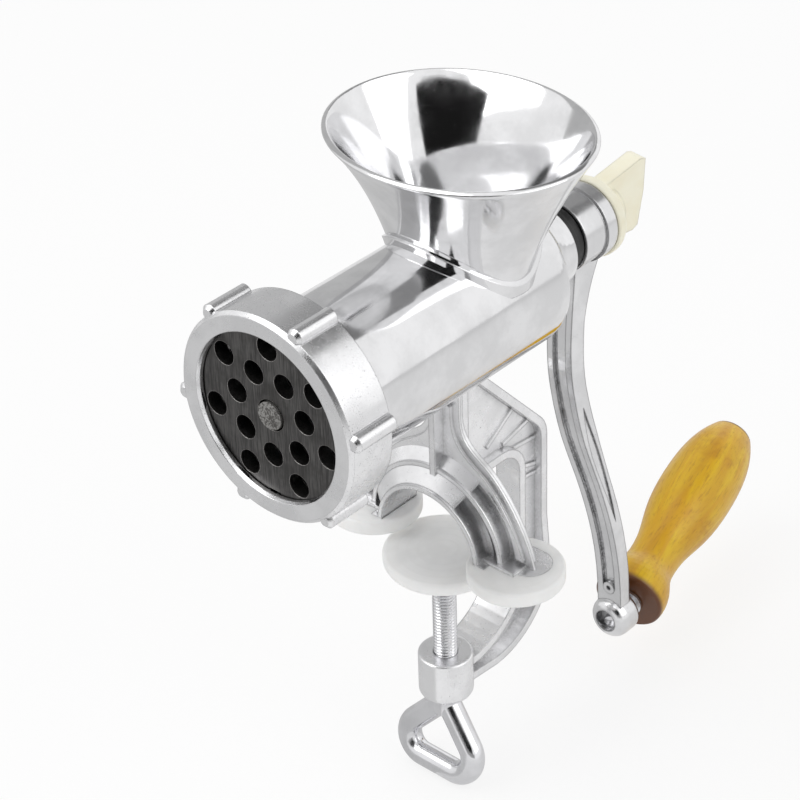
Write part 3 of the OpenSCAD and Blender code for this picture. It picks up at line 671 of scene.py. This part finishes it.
# %% Finishes on the frame
FINISHES = {
    "ring_nut": ring_finish, "cutting_plate": plate_steel, "locating_pin": ground_steel,
    "auger": dull_casting, "crank_arm": arm_casting,
    "cross_knife": ground_steel, "rear_bush": nylon, "thrust_washer": dark_plastic,
    "clamp_frame": clamp_casting, "clamp_jaw": clamp_casting,
    "jaw_pad_left": milky_left, "jaw_pad_right": milky_right, "pad_cap": milky_cap, "pad_disc": bright_zinc,
    "clamp_screw": bright_zinc, "screw_bow": bright_zinc, "wing_knob": ivory, "wing_stud": bright_zinc,
    "grip": varnished_wood, "grip_spindle": bright_zinc, "grip_washer": bright_zinc,
    "grip_bolt_head": chrome_cap}
for name, node in nodes.items():
    node.data.materials.clear()
    node.data.materials.append(FINISHES.get(name, polished_casting))
print("finished nodes", len(nodes))

# %% [markdown]
# ## Modelling helpers
# Operators work on what is selected, as they do by hand. These helpers choose one piece, switch to
# edit mode, and pick faces or edges by where they are.

# %% Helpers
def alone(piece):
    """Selects one piece and nothing else."""
    if bpy.context.object and bpy.context.object.mode != "OBJECT":
        bpy.ops.object.mode_set(mode="OBJECT")
    bpy.ops.object.select_all(action="DESELECT")
    piece.select_set(True)
    bpy.context.view_layer.objects.active = piece
    return piece


def pick(piece, kind, wanted):
    """Selects the faces, edges or vertices of a piece that a test wants."""
    bpy.ops.mesh.select_mode(type={"faces": "FACE", "edges": "EDGE", "vertices": "VERT"}[kind])
    bpy.ops.mesh.select_all(action="DESELECT")
    bpy.ops.object.mode_set(mode="OBJECT")
    for part in getattr(piece.data, "polygons" if kind == "faces" else kind):
        part.select = wanted(part)
    bpy.ops.object.mode_set(mode="EDIT")


def applied(piece, kind, **settings):
    """Adds a modifier with its settings and applies it."""
    alone(piece)
    modifier = piece.modifiers.new(kind.lower(), kind)
    for setting, value in settings.items():
        setattr(modifier, setting, value)
    bpy.ops.object.modifier_apply(modifier=modifier.name)
    return piece


def settled(piece, name, finish):
    """Names a piece, gives it its finish, and puts its place in its mesh."""
    alone(piece)
    bpy.ops.object.transform_apply(location=True, rotation=True, scale=True)
    piece.name = name
    piece.data.name = name
    piece.data.materials.clear()
    piece.data.materials.append(finish)
    return piece


print("helpers ready")

# %% [markdown]
# ## The hopper
# The hopper is a thin oval funnel that flares as it rises, more to the sides than to the ends, and
# is cast with the barrel. It could be lofted or carved. Here it is drawn up from a circle: each
# step extrudes the rim a little and scales it to the next oval, and Solidify gives the sheet its
# wall.

# %% Hopper
FUNNEL_CENTRE = Vector((0.0, 12.0)) * MM
FUNNEL_FOOT, FUNNEL_MOUTH = 97.5 * MM, 144.15 * MM
FOOT_HALF, MOUTH_HALF = (22.9, 17.2), (43.9, 37.6)   # across and along the barrel, in millimetres
WALL = 2.0 * MM
STEPS = 28
AXIS_Z = 87.5 * MM
BARREL_INSIDE, BAND_REACH = 24.6, 28.2               # from the barrel's axis, in millimetres


def oval(t, more=0.0):
    """The funnel's two half widths at a share of its height."""
    across = FOOT_HALF[0] + (MOUTH_HALF[0] - FOOT_HALF[0]) * t ** 1.38
    along = FOOT_HALF[1] + (MOUTH_HALF[1] - FOOT_HALF[1]) * (0.52 * t + 0.48 * t ** 2.9)
    return (across + more) * MM, (along + more) * MM


def drawn_funnel(upto, more=0.0):
    """A funnel drawn up from an oval, step by step."""
    bpy.ops.object.select_all(action="DESELECT")
    bpy.ops.mesh.primitive_circle_add(vertices=96, radius=1.0, location=(*FUNNEL_CENTRE, FUNNEL_FOOT))
    funnel = bpy.context.object
    bpy.ops.object.mode_set(mode="EDIT")
    bpy.ops.mesh.select_all(action="SELECT")
    wide, deep = oval(0.0, more)
    bpy.ops.transform.resize(value=(wide, deep, 1.0), center_override=(*FUNNEL_CENTRE, FUNNEL_FOOT))
    height = FUNNEL_MOUTH - FUNNEL_FOOT
    for step in range(1, int(STEPS * upto) + 1):
        t = step / STEPS
        new_wide, new_deep = oval(t, more)
        bpy.ops.mesh.extrude_region_move(TRANSFORM_OT_translate={"value": (0.0, 0.0, height / STEPS)})
        bpy.ops.transform.resize(value=(new_wide / wide, new_deep / deep, 1.0),
                                 center_override=(*FUNNEL_CENTRE, FUNNEL_FOOT + height * t))
        wide, deep = new_wide, new_deep
    bpy.ops.mesh.select_all(action="SELECT")
    bpy.ops.mesh.normals_make_consistent(inside=False)
    bpy.ops.object.mode_set(mode="OBJECT")
    face = funnel.data.polygons[0]
    if face.normal.x * face.center.x + face.normal.y * face.center.y < 0:
        bpy.ops.object.mode_set(mode="EDIT")
        bpy.ops.mesh.flip_normals()
        bpy.ops.object.mode_set(mode="OBJECT")
    return funnel


def drum(radius, length=0.11):
    """A round cutter along the barrel's axis, under the funnel."""
    bpy.ops.object.select_all(action="DESELECT")
    bpy.ops.mesh.primitive_cylinder_add(vertices=128, radius=radius * MM, depth=length,
                                        location=(0.0, FUNNEL_CENTRE.y, AXIS_Z),
                                        rotation=(math.pi / 2, 0.0, 0.0))
    return bpy.context.object


def cut_by(piece, cutter, operation):
    """A Boolean with a cutter that is then thrown away."""
    applied(piece, "BOOLEAN", operation=operation, object=cutter, solver="EXACT")
    bpy.data.objects.remove(cutter)
    return piece


hopper = drawn_funnel(1.0)
applied(hopper, "SOLIDIFY", thickness=WALL, offset=-1.0, use_even_offset=True)
applied(hopper, "BEVEL", width=0.55 * MM, segments=3, limit_method="ANGLE", angle_limit=math.radians(50))
cut_by(hopper, drum(BARREL_INSIDE), "DIFFERENCE")
settled(hopper, "funnel", polished_casting)
bpy.ops.object.shade_smooth_by_angle(angle=math.radians(35))
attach(hopper, "casting")
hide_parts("hopper")
print("hopper faces", len(hopper.data.polygons))

# %% [markdown]
# Round the funnel's foot the pattern maker left a narrow raised band, where the funnel meets the
# barrel. It is a second funnel, a little wider, of which only the part close to the barrel is kept.

# %% Foot band
foot_band = drawn_funnel(0.72, 1.3)
applied(foot_band, "SOLIDIFY", thickness=2.4 * MM, offset=-1.0, use_even_offset=True)
cut_by(foot_band, drum(BAND_REACH), "INTERSECT")
cut_by(foot_band, drum(BARREL_INSIDE), "DIFFERENCE")
settled(foot_band, "foot_band", polished_casting)
bpy.ops.object.shade_smooth_by_angle(angle=math.radians(35))
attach(foot_band, "casting")
print("foot band faces", len(foot_band.data.polygons))

# %% [markdown]
# ## The jaw's crown
# Over the top of the jaw's arch the casting has no pockets: a smooth slope runs up from the arch's
# lip to the wall, as far as the pocket of the right leg. It could be cut from a drum. Here its
# section is a plane with one corner pulled back to the wall, spun round the arch's axis, because
# the section then keeps the same shape all along. Angles are counted from the arch's top, to the
# right.

# %% Crown section
ARCH_R, ARCH_Z = 19.3 * MM, 4.5 * MM
SLOPE_IN, SLOPE_OUT = 1.5 * MM, 13.5 * MM            # outwards from the arch
WALL_Y, SLOPE_FRONT = 1.9 * MM, -6.9 * MM
LIP_AT_WALL = 0.4 * MM
CROWN_FROM, CROWN_TO = math.radians(-74), math.radians(31)
slope_wide, slope_deep = SLOPE_OUT - SLOPE_IN, WALL_Y - SLOPE_FRONT
slope_bottom = ARCH_Z + ARCH_R + SLOPE_IN

bpy.ops.object.select_all(action="DESELECT")
bpy.ops.mesh.primitive_plane_add(size=1.0, location=(0.0, 0.0, 0.0), rotation=(0.0, math.pi / 2, 0.0))
crown = bpy.context.object
bpy.ops.object.transform_apply(location=True, rotation=True, scale=True)
bpy.ops.object.mode_set(mode="EDIT")
bpy.ops.mesh.select_all(action="SELECT")
bpy.ops.transform.resize(value=(1.0, slope_deep, slope_wide), center_override=(0.0, 0.0, 0.0))
bpy.ops.transform.translate(value=(0.0, (WALL_Y + SLOPE_FRONT) / 2, slope_bottom + slope_wide / 2))
pick(crown, "vertices", lambda v: v.co.y < 0.0 and v.co.z > slope_bottom + slope_wide / 2)
bpy.ops.transform.translate(value=(0.0, slope_deep - LIP_AT_WALL, 0.0))
bpy.ops.mesh.select_all(action="SELECT")
bpy.ops.mesh.subdivide(number_cuts=3)
print("section", round(slope_wide / MM, 1), "by", round(slope_deep / MM, 1), "mm")

# %% Crown slope
# Spin turns to the left here, and rotate with a negative angle turns back to the right.
bpy.ops.mesh.spin(steps=40, dupli=False, angle=CROWN_TO - CROWN_FROM, center=(0.0, 0.0, ARCH_Z),
                  axis=(0.0, 1.0, 0.0))
bpy.ops.mesh.select_all(action="SELECT")
bpy.ops.transform.rotate(value=-CROWN_TO, orient_axis="Y", center_override=(0.0, 0.0, ARCH_Z))
bpy.ops.mesh.remove_doubles(threshold=0.002 * MM)
bpy.ops.mesh.normals_make_consistent(inside=False)
bpy.ops.object.mode_set(mode="OBJECT")
settled(crown, "crown_slope", clamp_casting)
bpy.ops.object.shade_smooth_by_angle(angle=math.radians(40))
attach(crown, "casting")
print("crown from x", round(min(v.co.x for v in crown.data.vertices) / MM, 1), "to",
      round(max(v.co.x for v in crown.data.vertices) / MM, 1), "mm, faces", len(crown.data.polygons))

# %% [markdown]
# ## The clamp screw
# The screw is an M8 rod with a rolled thread, 1.25 mm from turn to turn. Its profile is one tooth,
# made from a plane by pulling in one side, and the Screw modifier winds it up the rod. The core
# inside it ends in the neck and the small flange that hold the pad.

# %% Screw
PITCH = 1.25 * MM
TOOTH_H, TOOTH_MIDDLE, TOOTH_TIP = 0.62 * MM, 3.68 * MM, 0.2   # the tip's width is a share of the pitch
CORE_R, NECK_R, FLANGE_R = 3.5 * MM, 2.6 * MM, 3.6 * MM
NECK_H, FLANGE_H = 1.8 * MM, 1.0 * MM
screw_low, screw_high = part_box("clamp_screw")[0][2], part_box("clamp_screw")[1][2] - NECK_H - FLANGE_H
turns = int((screw_high - screw_low) / PITCH) - 1
bpy.ops.object.select_all(action="DESELECT")
bpy.ops.mesh.primitive_plane_add(size=1.0, location=(0.0, 0.0, 0.0), rotation=(math.pi / 2, 0.0, 0.0))
thread = bpy.context.object
bpy.ops.object.transform_apply(location=True, rotation=True, scale=True)
bpy.ops.object.mode_set(mode="EDIT")
bpy.ops.mesh.select_all(action="SELECT")
bpy.ops.transform.resize(value=(TOOTH_H, 1.0, PITCH), center_override=(0.0, 0.0, 0.0))
bpy.ops.transform.translate(value=(TOOTH_MIDDLE, 0.0, screw_low + PITCH))
pick(thread, "vertices", lambda v: v.co.x > TOOTH_MIDDLE)
bpy.ops.transform.resize(value=(1.0, 1.0, TOOTH_TIP), center_override=(0.0, 0.0, screw_low + PITCH))
bpy.ops.mesh.select_mode(type="FACE")
bpy.ops.mesh.select_all(action="SELECT")
bpy.ops.mesh.delete(type="ONLY_FACE")
pick(thread, "edges", lambda e: all(thread.data.vertices[i].co.x < TOOTH_MIDDLE for i in e.vertices))
bpy.ops.mesh.delete(type="EDGE")
bpy.ops.object.mode_set(mode="OBJECT")
applied(thread, "SCREW", axis="Z", screw_offset=PITCH, iterations=turns, steps=40, render_steps=40,
        use_merge_vertices=True, merge_threshold=0.005 * MM, use_smooth_shade=True)
bpy.ops.object.mode_set(mode="EDIT")
bpy.ops.mesh.select_all(action="SELECT")
bpy.ops.mesh.remove_doubles(threshold=0.005 * MM)
bpy.ops.mesh.fill_holes(sides=0)
bpy.ops.mesh.select_all(action="SELECT")
bpy.ops.mesh.normals_make_consistent(inside=False)
bpy.ops.object.mode_set(mode="OBJECT")
print("thread turns", turns, "faces", len(thread.data.polygons))

# %% Core and neck
bpy.ops.object.select_all(action="DESELECT")
bpy.ops.mesh.primitive_cylinder_add(vertices=40, radius=CORE_R, depth=screw_high - screw_low,
                                    location=(0.0, 0.0, (screw_low + screw_high) / 2))
core = bpy.context.object
bpy.ops.object.transform_apply(location=True, rotation=True, scale=True)
bpy.ops.object.mode_set(mode="EDIT")
pick(core, "faces", lambda f: f.normal.z > 0.9)
bpy.ops.mesh.inset(thickness=CORE_R - NECK_R)
bpy.ops.mesh.extrude_region_move(TRANSFORM_OT_translate={"value": (0.0, 0.0, NECK_H)})
bpy.ops.mesh.extrude_region_move(TRANSFORM_OT_translate={"value": (0.0, 0.0, 0.0)})
bpy.ops.transform.resize(value=(FLANGE_R / NECK_R, FLANGE_R / NECK_R, 1.0),
                         center_override=(0.0, 0.0, screw_high))
bpy.ops.mesh.extrude_region_move(TRANSFORM_OT_translate={"value": (0.0, 0.0, FLANGE_H)})
bpy.ops.object.mode_set(mode="OBJECT")
alone(core)
thread.select_set(True)
bpy.ops.object.join()
screw = settled(core, "threaded_rod", bright_zinc)
bpy.ops.object.shade_smooth_by_angle(angle=math.radians(25))
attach(screw, "screw")
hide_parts("clamp_screw")
print("screw faces", len(screw.data.polygons))
